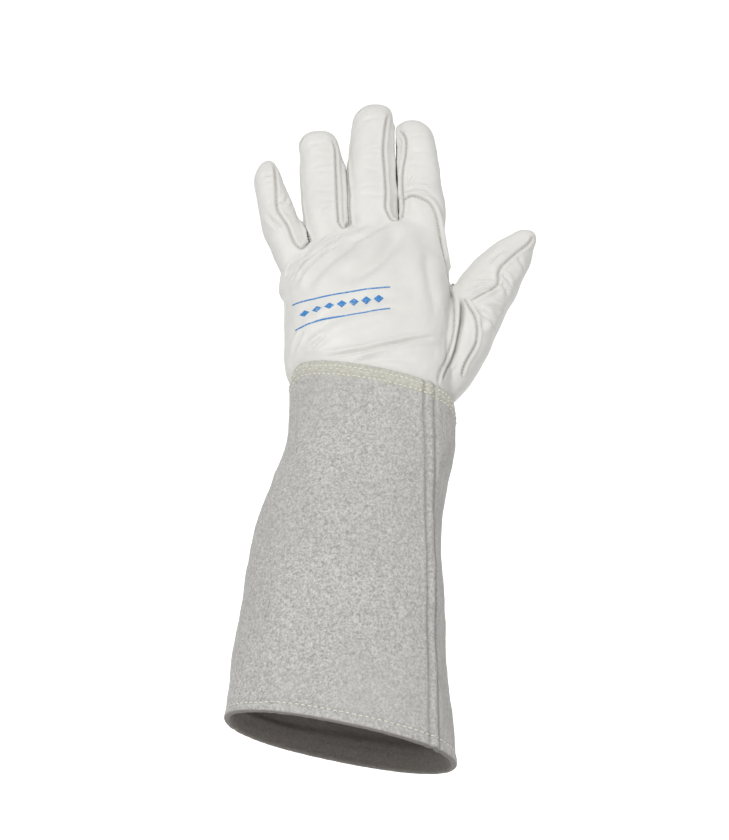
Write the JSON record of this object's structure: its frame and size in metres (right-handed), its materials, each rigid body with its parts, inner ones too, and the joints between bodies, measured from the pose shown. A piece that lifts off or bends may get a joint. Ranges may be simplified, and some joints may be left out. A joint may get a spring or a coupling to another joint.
{
  "type": "welding glove",
  "caption": "Left-hand gauntlet welding glove: soft grain-leather hand and thumb sewn to a long flared split-suede cuff, posed as worn.",
  "frame": {"origin": "middle of the arm opening, in the plane of the slanted cuff hem", "axes": "+Z from the hem to the fingertips, -Y out of the back of the hand, +X toward the thumb"},
  "size_m": [0.1802, 0.08, 0.4185],
  "materials": {
    "back_leather": "smooth off-white grain leather, soft satin",
    "palm_leather": "smooth off-white grain leather, soft satin",
    "leather_side": "off-white grain leather strip, matt",
    "thumb_leather": "off-white grain leather, soft satin",
    "leather_welt": "rolled grain leather seam",
    "cuff_suede": "grey split suede with a short mottled nap",
    "suede_welt": "grey suede seam strip"
  },
  "bodies": {
    "cuff": {"cuff_panel_lower": "cuff_suede", "cuff_welt_lower": "suede_welt", "cuff_hem_fold": "cuff_suede"},
    "hand": {"cuff_panel_upper": "cuff_suede", "cuff_welt_upper": "suede_welt", "back_panel": "back_leather", "palm_panel": "palm_leather", "back_welt": "leather_welt", "thumb_base": "thumb_leather", "fork_index_middle": "leather_side", "fork_middle_ring": "leather_side", "fork_ring_little": "leather_side"},
    "index_proximal": {"index_proximal_wrap": "palm_leather", "index_proximal_fourchette_middle": "leather_side"},
    "index_distal": {"index_distal_wrap": "palm_leather", "index_distal_fourchette_middle": "leather_side"},
    "middle_proximal": {"middle_proximal_back": "back_leather", "middle_proximal_palm": "palm_leather", "middle_proximal_fourchette_thumbward": "leather_side", "middle_proximal_fourchette_outward": "leather_side"},
    "middle_distal": {"middle_distal_back": "back_leather", "middle_distal_palm": "palm_leather", "middle_distal_fourchette_thumbward": "leather_side", "middle_distal_fourchette_outward": "leather_side"},
    "ring_proximal": {"ring_proximal_back": "back_leather", "ring_proximal_palm": "palm_leather", "ring_proximal_fourchette_thumbward": "leather_side", "ring_proximal_fourchette_outward": "leather_side"},
    "ring_distal": {"ring_distal_back": "back_leather", "ring_distal_palm": "palm_leather", "ring_distal_fourchette_thumbward": "leather_side", "ring_distal_fourchette_outward": "leather_side"},
    "little_proximal": {"little_proximal_back": "back_leather", "little_proximal_palm": "palm_leather", "little_proximal_fourchette_ring": "leather_side"},
    "little_distal": {"little_distal_back": "back_leather", "little_distal_palm": "palm_leather", "little_distal_fourchette_ring": "leather_side"},
    "thumb_proximal": {"thumb_proximal_back": "thumb_leather", "thumb_proximal_palm": "thumb_leather"},
    "thumb_distal": {"thumb_distal_back": "thumb_leather", "thumb_distal_palm": "thumb_leather"}
  },
  "joints": [
    {"name": "wrist_fold", "type": "hinge", "parent": "cuff", "child": "hand", "pos_m": [0.017, 0, 0.18], "axis": [-1, 0, 0], "range_deg": [-25, 25], "stiffness_Nm_per_rad": 1},
    {"name": "index_root_fold", "type": "hinge", "parent": "hand", "child": "index_proximal", "pos_m": [0.0485, 0, 0.332], "axis": [-0.9976, 0, -0.0698], "range_deg": [0, 70], "stiffness_Nm_per_rad": 0.1},
    {"name": "index_middle_fold", "type": "hinge", "parent": "index_proximal", "child": "index_distal", "pos_m": [0.04655, 0, 0.35993], "axis": [-0.9976, 0, -0.0698], "range_deg": [0, 75], "stiffness_Nm_per_rad": 0.1},
    {"name": "middle_root_fold", "type": "hinge", "parent": "hand", "child": "middle_proximal", "pos_m": [0.0187, 0, 0.331], "axis": [-1, 0, 0], "range_deg": [0, 70], "stiffness_Nm_per_rad": 0.1},
    {"name": "middle_middle_fold", "type": "hinge", "parent": "middle_proximal", "child": "middle_distal", "pos_m": [0.0187, 0, 0.359], "axis": [-1, 0, 0], "range_deg": [0, 75], "stiffness_Nm_per_rad": 0.1},
    {"name": "ring_root_fold", "type": "hinge", "parent": "hand", "child": "ring_proximal", "pos_m": [-0.0107, 0, 0.329], "axis": [-0.9976, 0, -0.0698], "range_deg": [0, 70], "stiffness_Nm_per_rad": 0.1},
    {"name": "ring_middle_fold", "type": "hinge", "parent": "ring_proximal", "child": "ring_distal", "pos_m": [-0.01265, 0, 0.35693], "axis": [-0.9976, 0, -0.0698], "range_deg": [0, 75], "stiffness_Nm_per_rad": 0.1},
    {"name": "little_root_fold", "type": "hinge", "parent": "hand", "child": "little_proximal", "pos_m": [-0.0371, 0, 0.319], "axis": [-0.9781, 0, -0.2079], "range_deg": [0, 70], "stiffness_Nm_per_rad": 0.1},
    {"name": "little_middle_fold", "type": "hinge", "parent": "little_proximal", "child": "little_distal", "pos_m": [-0.04292, 0, 0.34639], "axis": [-0.9781, 0, -0.2079], "range_deg": [0, 75], "stiffness_Nm_per_rad": 0.1},
    {"name": "thumb_root_fold", "type": "hinge", "parent": "hand", "child": "thumb_proximal", "pos_m": [0.0855, 0.008, 0.273], "axis": [-0.829, 0, 0.5592], "range_deg": [0, 45], "stiffness_Nm_per_rad": 0.1},
    {"name": "thumb_tip_fold", "type": "hinge", "parent": "thumb_proximal", "child": "thumb_distal", "pos_m": [0.09724, 0.008, 0.29041], "axis": [-0.829, 0, 0.5592], "range_deg": [0, 60], "stiffness_Nm_per_rad": 0.1}
  ]
}
